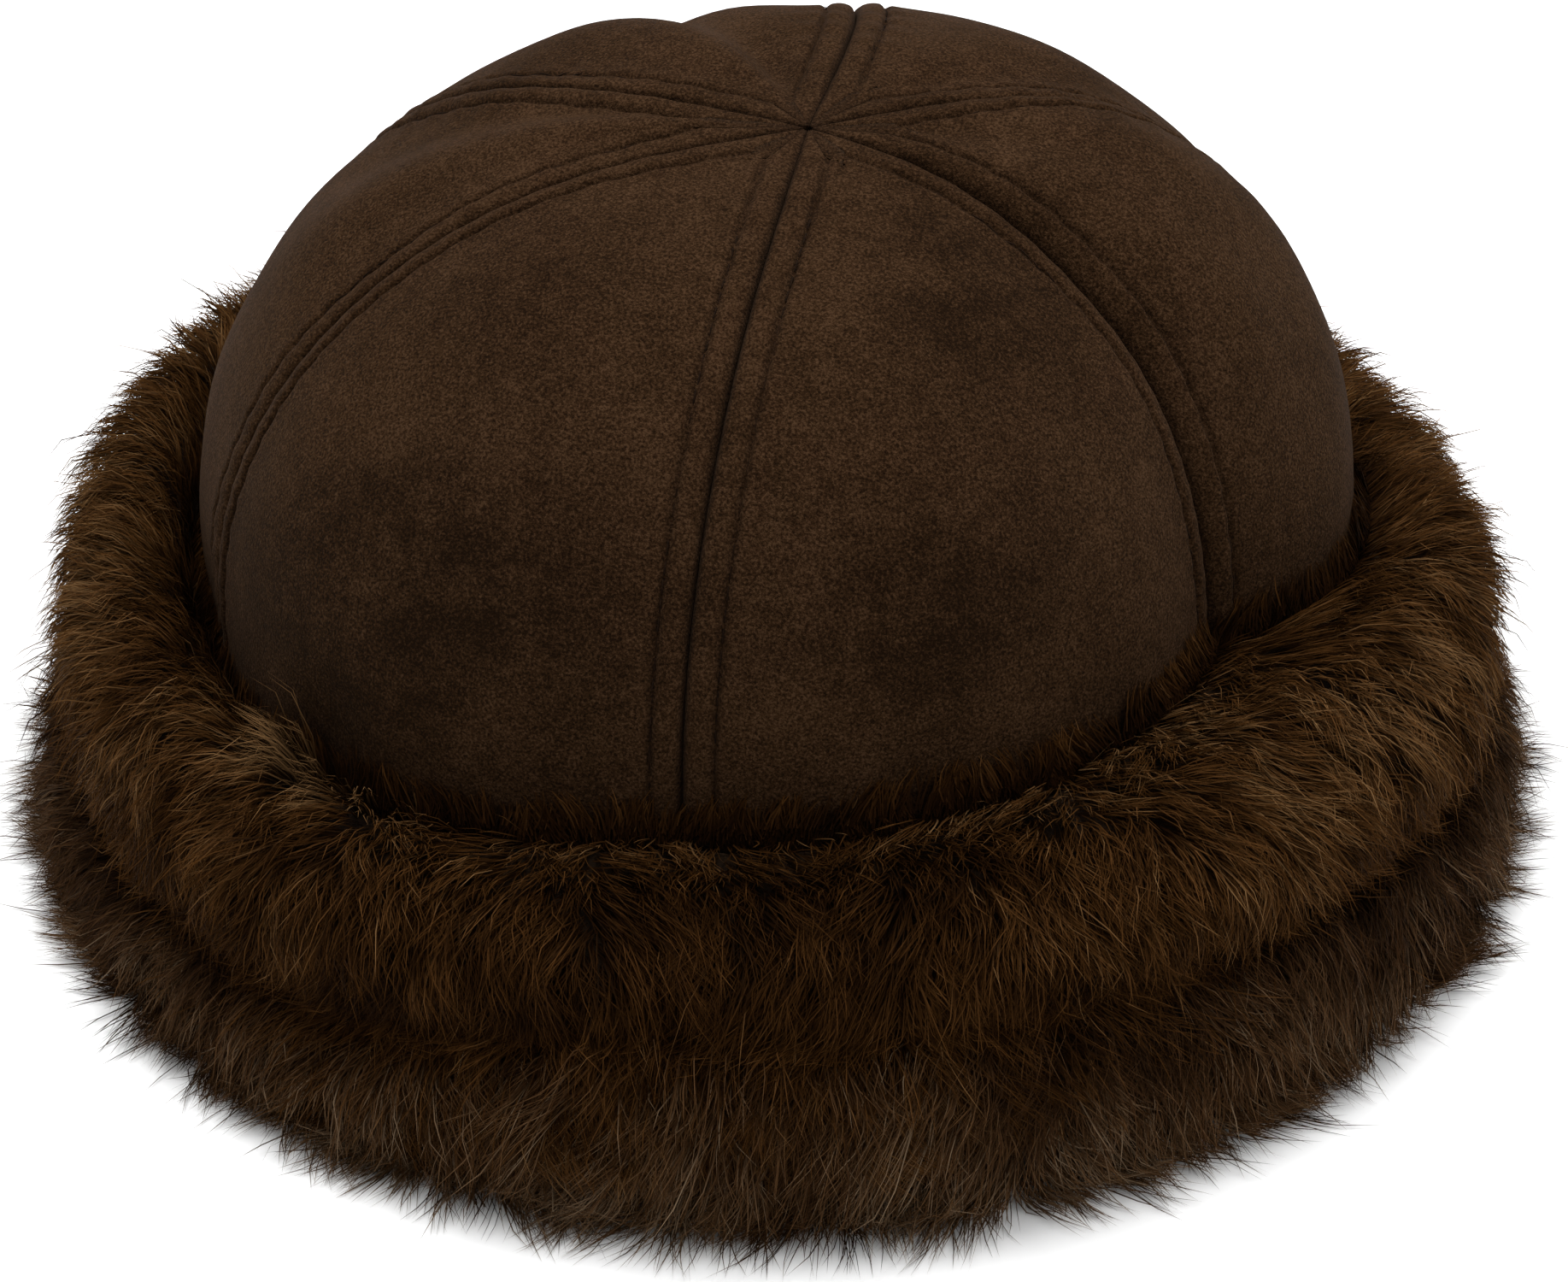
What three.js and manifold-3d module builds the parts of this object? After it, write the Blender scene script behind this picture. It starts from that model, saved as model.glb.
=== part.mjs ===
// A six-panel soft suede cap with a deep fur brim, standing on its brim.
// Millimetres, +Z up, front towards -Y, origin on the floor under the middle of the brim.
import * as THREE from "three";
import { mergeVertices } from "three/addons/utils/BufferGeometryUtils.js";
import Module from "manifold-3d";

// Crown: outside sizes, without the seam bands
const crownWidth = 197;
const crownLength = 188;
const crownRise = 76;
const widestLevel = 60;
const hemLevel = 24;
const hemTaper = 4;
const dimpleDepth = 5;
const crownShift = -3;
const apexShift = 7.7;
const suedeWall = 2;
const seamGap = 0.3;
const tipRadius = 0.8;

// Superellipse powers of the crown's upright section, and of a panel's bulge between its seams: under 1
// is fuller
const roundPower = 0.82;
const crestPower = 0.985;
const puffPower = 0.8;

// Levels of the crown, from 0 at its widest to 1 at its apex: where the dimple starts to draw the
// panels in, and where the bands and folds have run out
const dimpleStart = 0.58;
const reliefEnd = 0.86;

// Stitched bands beside each seam, the most of a panel's width that one may take near the apex, and
// the size that the folds are shares of
const bandWidth = 5.2;
const widestBand = 0.42;
const bandLift = 0.7;
const stitchSink = 0.35;
const foldHeight = 4;

// Brim: two furred plies that meet at the brim's edge. headLedge is how far the lower ply reaches in
// under the crown's wall, all round the head opening.
const brimDiameter = 248;
const brimHeight = 60;
const headLedge = 3;
const seatGap = 0.3;
const creaseGap = 0.6;
const edgeNotch = 4;
const upperSetback = 4;
const pileRound = 3;

// Fur locks fused to each ply: size of a lock, how deep its edges are sunk into the backing, how far its
// tip reaches past the ply's edge, how far it may lean along the edge in degrees, and which stretch of a
// half wave its width and height follow
const lockHeight = 3.2;
const lockWidth = 19;
const lockSink = 1.5;
const lockReach = 6;
const lockSweep = 12;
const lockRoot = 0.2;
const lockEnd = 0.75;
const upperLocks = 40;
const lowerLocks = 38;

// How locks differ: shares of the space between two locks by which one may be moved on, of lockReach
// that the shortest has, and of lockWidth by which one may be wider or narrower
const lockStagger = 0.3;
const shortestReach = 0.4;
const widthSpread = 0.15;

// Resolution of the faceted surfaces
const panelColumns = 7;
const lowerRows = 3;
const domeRows = 12;
const brimColumns = 48;
const mergeTolerance = 1e-4;

// Seams, clockwise from above starting at the front. angle is at the hem and lean is added towards
// the apex, in degrees; reach is the seam's distance from the axis as a share of the crown's radius.
const seams = [
  { angle: 0, lean: -2, reach: 0.957 },
  { angle: 66, lean: 4, reach: 0.865 },
  { angle: 114, lean: 7, reach: 0.963 },
  { angle: 184, lean: -10, reach: 0.962 },
  { angle: 237, lean: 16, reach: 0.962 },
  { angle: 297, lean: -2, reach: 0.957 },
];

// Panels, each from the seam of its own row to the next. puff is how far its middle stands out
// beyond its seams, as a share of the crown's radius.
const panels = [
  { name: "crown_panel_front_right", puff: 0.048 },
  { name: "crown_panel_right", puff: 0.09 },
  { name: "crown_panel_back_right", puff: 0.026 },
  { name: "crown_panel_back_left", puff: 0.012 },
  { name: "crown_panel_left", puff: 0.002 },
  { name: "crown_panel_front_left", puff: 0.056 },
];

// Soft folds and dents. Each runs from (across, level) to (toAcross, toLevel) on its panel; across is
// a share of the panel's width and level a share of the crown's rise, below 0 towards the hem.
// breadth is in those same shares, and lift is a share of foldHeight, negative for a dent.
const folds = [
  { panel: 4, across: 0.6, level: 0.5, toAcross: 0.5, toLevel: 0.82, breadth: 0.16, lift: 0.35 },
  { panel: 4, across: 0.3, level: 0.5, toAcross: 0.27, toLevel: 0.75, breadth: 0.13, lift: -0.2 },
  { panel: 2, across: 0.15, level: 0.62, toAcross: 0.3, toLevel: 0.85, breadth: 0.14, lift: -0.3 },
  { panel: 3, across: 0.44, level: 0.45, toAcross: 0.34, toLevel: 0.9, breadth: 0.1, lift: -0.65 },
  { panel: 3, across: 0.66, level: 0.7, toAcross: 0.5, toLevel: 0.85, breadth: 0.12, lift: 0.3 },
  { panel: 1, across: 0.5, level: 0.45, toAcross: 0.5, toLevel: 0.8, breadth: 0.16, lift: -0.25 },
  { panel: 0, across: 0.5, level: 0.62, toAcross: 0.72, toLevel: 0.5, breadth: 0.14, lift: -0.35 },
  { panel: 0, across: 0.36, level: -0.35, toAcross: 0.36, toLevel: 0.05, breadth: 0.06, lift: -0.3 },
  { panel: 5, across: 0.4, level: -0.35, toAcross: 0.42, toLevel: 0.02, breadth: 0.06, lift: -0.3 },
];

// Sections of the brim around the cap. angle runs as for the seams, in degrees; the other columns are
// heights above the floor as shares of brimHeight: crease where the fur meets the crown, roll on top
// of the fur, shoulder at its outer edge, and split where the two plies part.
const brimSections = [
  { angle: 0, crease: 0.93, roll: 0.87, shoulder: 0.7, split: 0.6 },
  { angle: 30, crease: 0.98, roll: 0.93, shoulder: 0.73, split: 0.62 },
  { angle: 56, crease: 1, roll: 0.98, shoulder: 0.77, split: 0.57 },
  { angle: 84, crease: 0.97, roll: 0.95, shoulder: 0.73, split: 0.46 },
  { angle: 115, crease: 0.9, roll: 0.86, shoulder: 0.67, split: 0.42 },
  { angle: 155, crease: 0.84, roll: 0.83, shoulder: 0.67, split: 0.42 },
  { angle: 205, crease: 0.8, roll: 0.9, shoulder: 0.76, split: 0.42 },
  { angle: 250, crease: 0.77, roll: 0.95, shoulder: 0.8, split: 0.38 },
  { angle: 293, crease: 0.75, roll: 0.87, shoulder: 0.66, split: 0.34 },
  { angle: 330, crease: 0.84, roll: 0.85, shoulder: 0.67, split: 0.4 },
];

// Places on top of the roll. outward is a share of the way from the crease to the edge, and the height
// is a share of the way from one of the section's heights to another.
const rollPlaces = [
  { outward: 0.28, from: "crease", to: "roll", share: 0.8 },
  { outward: 0.6, from: "roll", to: "shoulder", share: 0.1 },
  { outward: 0.86, from: "roll", to: "shoulder", share: 0.55 },
];

// Share of the way from shoulder to split down which the upper ply's edge is upright, and the height of
// the lower ply's widest place as a share of the split's
const uprightEdge = 0.7;
const bellyHeight = 0.5;

const quarterTurn = Math.PI / 2;
const crownRadius = crownWidth / 2;
const lengthShare = crownLength / crownWidth;
const brimRadius = brimDiameter / 2;
const hemHeight = widestLevel - hemLevel;

const mix = THREE.MathUtils.lerp;
const smooth = THREE.MathUtils.smoothstep;

// A repeatable share from 0 to 1 for the nth draw of a kind
function scatter(n, kind) {
  const wave = Math.sin(n * 12.9898 + kind * 78.233) * 43758.5453;
  return wave - Math.floor(wave);
}

// Angle of a seam in degrees. level is 0 at the crown's widest level, 1 at its apex and -1 at its hem.
function seamAngle(index, level) {
  const turn = index >= seams.length ? 360 : 0;
  const seam = seams[index % seams.length];
  const up = Math.sin(Math.max(level, 0) * quarterTurn);
  return seam.angle + seam.lean * up * up + turn;
}

// The crown's plain upright section: distance from the axis as a share of its radius, and height
function domeSection(level) {
  if (level < 0) {
    const share = 1 - (hemTaper / crownRadius) * level * level;
    return { share, rise: level * hemHeight };
  }
  const turn = Math.min(level, 1) * quarterTurn;
  const share = Math.pow(Math.max(Math.cos(turn), 0), roundPower);
  return { share, rise: crownRise * Math.pow(Math.sin(turn), crestPower) };
}

// The section's outward direction as parts along the radius and up
function domeOutward(level) {
  const step = 0.004;
  const low = domeSection(level - step);
  const high = domeSection(Math.min(level + step, 1));
  const along = (high.share - low.share) * crownRadius;
  const up = high.rise - low.rise;
  const length = Math.hypot(along, up);
  return { radial: up / length, vertical: -along / length };
}

// How far a panel stands out at a place across it, as a share of the plain section
function panelReach(index, across, level) {
  const seam = seams[index];
  const next = seams[(index + 1) % seams.length];
  const bulge = Math.pow(4 * across * (1 - across), puffPower);
  const body = mix(seam.reach, next.reach, across) + panels[index].puff * bulge;
  return mix(body, 1 - dimpleDepth / crownRise, smooth(level, dimpleStart, 1));
}

// A place on the crown's plain outer surface: radius before the oval, angle in radians and height
function crownPlace(index, across, level) {
  const section = domeSection(level);
  const reach = panelReach(index, across, level);
  const radius = Math.max(section.share * crownRadius * reach, tipRadius);
  const start = seamAngle(index, level) + THREE.MathUtils.radToDeg(seamGap / 2 / radius);
  const end = seamAngle(index + 1, level) - THREE.MathUtils.radToDeg(seamGap / 2 / radius);
  const angle = THREE.MathUtils.degToRad(mix(start, end, across));
  const lifted = section.rise > 0 ? reach : 1;
  return { radius, angle, height: widestLevel + section.rise * lifted };
}

// The point of a crown place moved out by lift along the section's outward direction
function crownPoint(index, across, level, lift) {
  const place = crownPlace(index, across, level);
  const outward = domeOutward(level);
  const radius = place.radius + lift * outward.radial * (1 - smooth(level, reliefEnd, 1));
  const up = Math.sin(Math.max(level, 0) * quarterTurn);
  return new THREE.Vector3(
    radius * Math.sin(place.angle) + crownShift + apexShift * up * up,
    -radius * Math.cos(place.angle) * lengthShare,
    place.height + lift * outward.vertical,
  );
}

// Lift of the folds and dents at a place on a panel
function foldLift(index, across, level) {
  let lift = 0;
  for (const fold of folds.filter((row) => row.panel === index)) {
    const from = new THREE.Vector2(fold.across, fold.level);
    const run = new THREE.Vector2(fold.toAcross, fold.toLevel).sub(from);
    const here = new THREE.Vector2(across, level).sub(from);
    const along = THREE.MathUtils.clamp(here.dot(run) / run.lengthSq(), 0, 1);
    const away = here.sub(run.multiplyScalar(along)).length() / fold.breadth;
    lift += fold.lift * foldHeight * Math.exp(-away * away);
  }
  return lift * (1 - smooth(level, reliefEnd, 1));
}

// Places across a panel and their relief: seam, band crest and stitch line on each side of a plain
// middle. The bands narrow together where the panel does.
function panelStations(index, level) {
  const place = crownPlace(index, 0.5, level);
  const span = THREE.MathUtils.degToRad(seamAngle(index + 1, level) - seamAngle(index, level));
  const band = Math.min(bandWidth / (span * place.radius), widestBand);
  const fade = 1 - smooth(level, reliefEnd, 1);
  const edge = [
    { across: 0, lift: -stitchSink * fade },
    { across: band / 2, lift: bandLift * fade },
    { across: band, lift: -stitchSink * fade },
  ];
  const middle = [];
  for (let i = 1; i < panelColumns; i++) {
    middle.push({ across: mix(band, 1 - band, i / panelColumns), lift: 0 });
  }
  const farEdge = edge.map(({ across, lift }) => ({ across: 1 - across, lift })).reverse();
  return [...edge, ...middle, ...farEdge];
}

// Levels of the rows from the hem to the apex, closer together near the dimple
function crownLevels() {
  const levels = [];
  for (let i = 0; i < lowerRows; i++) {
    levels.push(i / lowerRows - 1);
  }
  for (let i = 0; i <= domeRows; i++) {
    levels.push(Math.sin((i / domeRows) * quarterTurn));
  }
  return levels;
}

// A closed skin between two grids of points with the same rows and columns
function closedWall(outer, inner) {
  const rows = outer.length;
  const columns = outer[0].length;
  const positions = [...outer.flat(), ...inner.flat()].flatMap((point) => point.toArray());
  const out = (row, column) => row * columns + column;
  const back = (row, column) => rows * columns + out(row, column);
  const indices = [];
  const quad = (a, b, c, d) => indices.push(a, b, c, a, c, d);
  for (let row = 0; row < rows - 1; row++) {
    for (let column = 0; column < columns - 1; column++) {
      quad(out(row, column), out(row, column + 1), out(row + 1, column + 1), out(row + 1, column));
      quad(back(row, column), back(row + 1, column), back(row + 1, column + 1), back(row, column + 1));
    }
    const last = columns - 1;
    quad(back(row, 0), out(row, 0), out(row + 1, 0), back(row + 1, 0));
    quad(out(row, last), back(row, last), back(row + 1, last), out(row + 1, last));
  }
  for (let column = 0; column < columns - 1; column++) {
    const top = rows - 1;
    quad(back(0, column), back(0, column + 1), out(0, column + 1), out(0, column));
    quad(out(top, column), out(top, column + 1), back(top, column + 1), back(top, column));
  }
  const geometry = new THREE.BufferGeometry();
  geometry.setAttribute("position", new THREE.Float32BufferAttribute(positions, 3));
  geometry.setIndex(indices);
  return geometry;
}

function panelGeometry(index) {
  const outer = [];
  const inner = [];
  for (const level of crownLevels()) {
    const stations = panelStations(index, level);
    const folded = ({ across }) => foldLift(index, across, level);
    outer.push(stations.map((s) => crownPoint(index, s.across, level, folded(s) + s.lift)));
    inner.push(stations.map((s) => crownPoint(index, s.across, level, folded(s) - suedeWall)));
  }
  return closedWall(outer, inner);
}

// The crown's outer radius where the brim meets it, before the oval, at an angle in degrees
function crownRadiusAt(angle, height) {
  const rise = height - widestLevel;
  const upper = Math.asin(Math.min(Math.max(rise, 0) / crownRise, 1)) / quarterTurn;
  const level = rise < 0 ? rise / hemHeight : upper;
  const turned = THREE.MathUtils.euclideanModulo(angle, 360);
  const index = seams.findLastIndex((seam) => seam.angle <= turned);
  const end = seamAngle(index + 1, -1);
  const across = (turned - seams[index].angle) / (end - seams[index].angle);
  return domeSection(level).share * crownRadius * panelReach(index, across, level);
}

// A point of the brim from an angle in degrees, its radius and height. The oval and the offset of the
// head opening fade out over the brim's width, so that the brim's edge is round and centred.
function brimPoint(angle, radius, height) {
  const turn = THREE.MathUtils.degToRad(angle);
  const outward = smooth(radius, crownRadius, brimRadius);
  const x = radius * Math.sin(turn) + mix(crownShift, 0, outward);
  const y = -radius * Math.cos(turn) * mix(lengthShare, 1, outward);
  return new THREE.Vector3(x, y, height);
}

// Heights of the brim's section at an angle in degrees, eased between the rows of brimSections
function brimHeights(angle) {
  const turned = THREE.MathUtils.euclideanModulo(angle, 360);
  const index = brimSections.findLastIndex((row) => row.angle <= turned);
  const row = brimSections[index];
  const next = brimSections[(index + 1) % brimSections.length];
  const end = index + 1 < brimSections.length ? next.angle : 360;
  const share = smooth(turned, row.angle, end);
  const height = (column) => brimHeight * mix(row[column], next[column], share);
  return {
    crease: height("crease"),
    roll: height("roll"),
    shoulder: height("shoulder"),
    split: height("split"),
  };
}

// Outline of the upper ply at an angle, from the crease over the roll to its edge and back beneath.
// Each place is a radius and a height.
function upperOutline(angle) {
  const heights = brimHeights(angle);
  const { crease, shoulder, split } = heights;
  const clear = bandLift + creaseGap;
  const foot = crownRadiusAt(angle, hemLevel) + clear;
  const middle = (hemLevel + crease) / 2;
  const creaseRadius = crownRadiusAt(angle, crease) + clear;
  const edge = brimRadius - upperSetback;
  const roll = rollPlaces.map(({ outward, from, to, share }) => ({
    radius: mix(creaseRadius, edge, outward),
    height: mix(heights[from], heights[to], share),
  }));
  return [
    { radius: foot, height: hemLevel },
    { radius: crownRadiusAt(angle, middle) + clear, height: middle },
    { radius: creaseRadius, height: crease },
    ...roll,
    { radius: edge, height: shoulder },
    { radius: edge, height: mix(shoulder, split, uprightEdge) },
    { radius: edge - pileRound / 2, height: split },
    { radius: edge - edgeNotch, height: split - pileRound / 2 },
  ];
}

// Outline of the lower ply at an angle, from the head opening's top ledge outwards and down
function lowerOutline(angle) {
  const { split } = brimHeights(angle);
  const crown = crownRadiusAt(angle, hemLevel);
  const foot = crown + bandLift + creaseGap;
  const inside = crown - suedeWall - headLedge;
  const edge = brimRadius - edgeNotch / 2;
  return [
    { radius: inside, height: hemLevel - seatGap },
    { radius: foot, height: hemLevel - seatGap },
    { radius: brimRadius - upperSetback - edgeNotch, height: split - pileRound / 2 - seatGap },
    { radius: edge, height: split - pileRound - edgeNotch / 2 },
    { radius: brimRadius, height: split * bellyHeight },
    { radius: brimRadius, height: pileRound },
    { radius: brimRadius - pileRound, height: 0 },
    { radius: inside + pileRound, height: 0 },
    { radius: inside, height: pileRound },
  ];
}

// A closed ring through one outline for each step around the brim. Each of its four-sided faces is
// split from its outer corner, so that two rings with a common face stay parallel there.
function ringGeometry(outlineAt) {
  const positions = [];
  const indices = [];
  const size = outlineAt(0).length;
  for (let column = 0; column < brimColumns; column++) {
    const angle = (column / brimColumns) * 360;
    const outline = outlineAt(angle);
    outline.forEach(({ radius, height }) => {
      positions.push(...brimPoint(angle, radius, height).toArray());
    });
    const here = column * size;
    const next = ((column + 1) % brimColumns) * size;
    for (let i = 0; i < size; i++) {
      const along = (i + 1) % size;
      if (outline[i].radius > outline[along].radius) {
        indices.push(here + i, here + along, next + along, here + i, next + along, next + i);
      } else {
        indices.push(here + i, here + along, next + i, here + along, next + along, next + i);
      }
    }
  }
  const geometry = new THREE.BufferGeometry();
  geometry.setAttribute("position", new THREE.Float32BufferAttribute(positions, 3));
  geometry.setIndex(indices);
  return geometry;
}

// One fur lock: a tapering strip over a path of { angle, radius, height } places, with a raised crest
// and both edges sunk into the backing. It ends in a single point.
function lockGeometry(path, width) {
  const spine = path.map(({ angle, radius, height }) => brimPoint(angle, radius, height));
  const positions = [];
  const indices = [];
  const last = spine.length - 1;
  for (let i = 0; i < last; i++) {
    const run = spine[i + 1].clone().sub(spine[Math.max(i - 1, 0)]).normalize();
    const turn = THREE.MathUtils.degToRad(path[i].angle);
    const around = new THREE.Vector3(Math.cos(turn), Math.sin(turn), 0);
    const raise = run.clone().cross(around).normalize();
    const side = raise.clone().cross(run);
    const swell = Math.sin(Math.PI * mix(lockRoot, lockEnd, i / last));
    const crest = spine[i].clone().addScaledVector(raise, lockHeight * swell);
    const low = spine[i].clone().addScaledVector(raise, -lockSink);
    const left = low.clone().addScaledVector(side, (-width / 2) * swell);
    const right = low.clone().addScaledVector(side, (width / 2) * swell);
    positions.push(...[crest, left, right].flatMap((point) => point.toArray()));
  }
  positions.push(...spine[last].toArray());
  for (let i = 0; i < last; i++) {
    for (let j = 0; j < 3; j++) {
      const a = i * 3 + j;
      const b = i * 3 + ((j + 1) % 3);
      const ahead = i + 1 < last ? [a + 3, b + 3] : [last * 3, last * 3];
      indices.push(a, b, ahead[0]);
      if (i + 1 < last) {
        indices.push(b, ahead[1], ahead[0]);
      }
    }
  }
  indices.push(0, 2, 1);
  const geometry = new THREE.BufferGeometry();
  geometry.setAttribute("position", new THREE.Float32BufferAttribute(positions, 3));
  geometry.setIndex(indices);
  return geometry;
}

const wasm = await Module();
wasm.setup();

function solidOf(geometry) {
  const merged = mergeVertices(geometry, mergeTolerance);
  const vertProperties = new Float32Array(merged.attributes.position.array);
  const triVerts = new Uint32Array(merged.index.array);
  return new wasm.Manifold(new wasm.Mesh({ numProp: 3, vertProperties, triVerts }));
}

function geometryOf(solid) {
  const { vertProperties, triVerts } = solid.getMesh();
  const geometry = new THREE.BufferGeometry();
  geometry.setAttribute("position", new THREE.BufferAttribute(vertProperties, 3));
  geometry.setIndex(new THREE.BufferAttribute(triVerts, 1));
  return geometry;
}

// A backing ring with its locks fused to it. Each lock runs through some places of the outline, and
// its tip stands off the outline at the height of one further place. Crossing locks can seal in a tiny
// pocket, so only the outer shell is kept.
function furredRing({ outlineAt, count, through, tip, kind }) {
  let fused = solidOf(ringGeometry(outlineAt));
  for (let i = 0; i < count; i++) {
    const angle = ((i + lockStagger * scatter(i, kind)) / count) * 360;
    const sweep = lockSweep * mix(-0.5, 0.5, scatter(i, kind + 1));
    const reach = lockReach * mix(shortestReach, 1, scatter(i, kind + 2));
    const outline = outlineAt(angle);
    const places = through.map((place) => outline[place]);
    places.push({ radius: places.at(-1).radius + reach, height: outline[tip].height + seatGap });
    const path = places.map((place, at) => ({ ...place, angle: angle + (sweep * at) / places.length }));
    const width = lockWidth * (1 + mix(-widthSpread, widthSpread, scatter(i, kind + 3)));
    fused = fused.add(solidOf(lockGeometry(path, width)));
  }
  const shells = fused.decompose().sort((a, b) => b.volume() - a.volume());
  return geometryOf(shells[0]);
}

const suede = {
  color: 0x2c1c10,
  roughness: 0.95,
  metalness: 0,
};

const upperFur = {
  color: 0x4a3322,
  roughness: 1,
  metalness: 0,
};

const lowerFur = {
  color: 0x33261c,
  roughness: 1,
  metalness: 0,
};

const cap = new THREE.Group();

function addPiece(name, geometry, finish) {
  geometry.computeVertexNormals();
  const piece = new THREE.Mesh(geometry, new THREE.MeshStandardMaterial(finish));
  piece.name = name;
  cap.add(piece);
}

panels.forEach(({ name }, index) => addPiece(name, panelGeometry(index), suede));
addPiece(
  "brim_fur_upper",
  furredRing({ outlineAt: upperOutline, count: upperLocks, through: [3, 5, 6], tip: 8, kind: 1 }),
  upperFur,
);
addPiece(
  "brim_fur_lower",
  furredRing({ outlineAt: lowerOutline, count: lowerLocks, through: [3, 4], tip: 5, kind: 11 }),
  lowerFur,
);

export default cap;
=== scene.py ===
import bpy
import numpy as np
from mathutils import Matrix, Vector


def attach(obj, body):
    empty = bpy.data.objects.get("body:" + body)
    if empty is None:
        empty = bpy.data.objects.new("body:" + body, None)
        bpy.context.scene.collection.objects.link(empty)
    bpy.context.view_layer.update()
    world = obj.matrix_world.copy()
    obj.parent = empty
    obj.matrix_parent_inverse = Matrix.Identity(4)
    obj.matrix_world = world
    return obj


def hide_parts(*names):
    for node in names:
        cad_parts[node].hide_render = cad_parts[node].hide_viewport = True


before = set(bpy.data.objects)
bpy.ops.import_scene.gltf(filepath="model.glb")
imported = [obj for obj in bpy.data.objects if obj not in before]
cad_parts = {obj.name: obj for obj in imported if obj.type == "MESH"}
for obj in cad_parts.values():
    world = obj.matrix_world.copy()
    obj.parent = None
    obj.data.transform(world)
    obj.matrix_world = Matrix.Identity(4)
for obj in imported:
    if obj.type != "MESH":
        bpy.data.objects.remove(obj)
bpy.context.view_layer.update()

# Sizes of the crown and brim, as the solids have them, but for a closer SEAM_GAP
CROWN_WIDTH = 0.197
CROWN_LENGTH = 0.188
CROWN_RISE = 0.076
WIDEST_LEVEL = 0.060
HEM_LEVEL = 0.024
HEM_TAPER = 0.004
DIMPLE_DEPTH = 0.005
CROWN_SHIFT = -0.003
APEX_SHIFT = 0.0077
SUEDE_WALL = 0.002
SEAM_GAP = 0.00012
TIP_RADIUS = 0.0008
ROUND_POWER = 0.82
CREST_POWER = 0.985
PUFF_POWER = 0.8
DIMPLE_START = 0.58
RELIEF_END = 0.86
BAND_WIDTH = 0.0052
WIDEST_BAND = 0.42
BAND_LIFT = 0.0007
STITCH_SINK = 0.00035
FOLD_HEIGHT = 0.004
BRIM_DIAMETER = 0.248
BRIM_HEIGHT = 0.060
HEAD_LEDGE = 0.003
SEAT_GAP = 0.0003
CREASE_GAP = 0.0006
EDGE_NOTCH = 0.004
UPPER_SETBACK = 0.004
PILE_ROUND = 0.003

CROWN_RADIUS = CROWN_WIDTH / 2
LENGTH_SHARE = CROWN_LENGTH / CROWN_WIDTH
BRIM_RADIUS = BRIM_DIAMETER / 2
HEM_HEIGHT = WIDEST_LEVEL - HEM_LEVEL
QUARTER = np.pi / 2

# Seams: angle at the hem and lean towards the apex in degrees, reach as a share of the crown's radius
SEAMS = [
    {"angle": 0, "lean": -2, "reach": 0.957},
    {"angle": 66, "lean": 4, "reach": 0.865},
    {"angle": 114, "lean": 7, "reach": 0.963},
    {"angle": 184, "lean": -10, "reach": 0.962},
    {"angle": 237, "lean": 16, "reach": 0.962},
    {"angle": 297, "lean": -2, "reach": 0.957},
]

# Panels, each from the seam of its own row to the next. puff is how far its middle stands out.
PANELS = [
    {"name": "crown_panel_front_right", "puff": 0.048},
    {"name": "crown_panel_right", "puff": 0.09},
    {"name": "crown_panel_back_right", "puff": 0.026},
    {"name": "crown_panel_back_left", "puff": 0.012},
    {"name": "crown_panel_left", "puff": 0.002},
    {"name": "crown_panel_front_left", "puff": 0.056},
]

# Folds and dents, the same as the solids': from one (across, level) to another, with breadth in the same
# shares and lift as a share of FOLD_HEIGHT
FOLDS = [
    {"panel": 4, "start": (0.6, 0.5), "end": (0.5, 0.82), "breadth": 0.16, "lift": 0.35},
    {"panel": 4, "start": (0.3, 0.5), "end": (0.27, 0.75), "breadth": 0.13, "lift": -0.2},
    {"panel": 2, "start": (0.15, 0.62), "end": (0.3, 0.85), "breadth": 0.14, "lift": -0.3},
    {"panel": 3, "start": (0.44, 0.45), "end": (0.34, 0.9), "breadth": 0.1, "lift": -0.65},
    {"panel": 3, "start": (0.66, 0.7), "end": (0.5, 0.85), "breadth": 0.12, "lift": 0.3},
    {"panel": 1, "start": (0.5, 0.45), "end": (0.5, 0.8), "breadth": 0.16, "lift": -0.25},
    {"panel": 0, "start": (0.5, 0.62), "end": (0.72, 0.5), "breadth": 0.14, "lift": -0.35},
    {"panel": 0, "start": (0.36, -0.35), "end": (0.36, 0.05), "breadth": 0.06, "lift": -0.3},
    {"panel": 5, "start": (0.4, -0.35), "end": (0.42, 0.02), "breadth": 0.06, "lift": -0.3},
]

# Heights of the brim's section round the cap, as shares of BRIM_HEIGHT
BRIM_SECTIONS = [
    {"angle": 0, "crease": 0.93, "roll": 0.87, "shoulder": 0.7, "split": 0.6},
    {"angle": 30, "crease": 0.98, "roll": 0.93, "shoulder": 0.73, "split": 0.62},
    {"angle": 56, "crease": 1, "roll": 0.98, "shoulder": 0.77, "split": 0.57},
    {"angle": 84, "crease": 0.97, "roll": 0.95, "shoulder": 0.73, "split": 0.46},
    {"angle": 115, "crease": 0.9, "roll": 0.86, "shoulder": 0.67, "split": 0.42},
    {"angle": 155, "crease": 0.84, "roll": 0.83, "shoulder": 0.67, "split": 0.42},
    {"angle": 205, "crease": 0.8, "roll": 0.9, "shoulder": 0.76, "split": 0.42},
    {"angle": 250, "crease": 0.77, "roll": 0.95, "shoulder": 0.8, "split": 0.38},
    {"angle": 293, "crease": 0.75, "roll": 0.87, "shoulder": 0.66, "split": 0.34},
    {"angle": 330, "crease": 0.84, "roll": 0.85, "shoulder": 0.67, "split": 0.4},
]

# Camera: it looks at AIM from this angle and distance, and AIM falls at AIM_PIXEL of the photograph
VIEW_AZIMUTH = 8
VIEW_ELEVATION = 34
VIEW_DISTANCE = 1.2
AIM = Vector((0, 0, 0.062))
AIM_PIXEL = (912, 558)
PHOTO_SIZE = (1835, 1500)
FOCAL_PIXELS = 8346
SENSOR_WIDTH = 36


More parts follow.
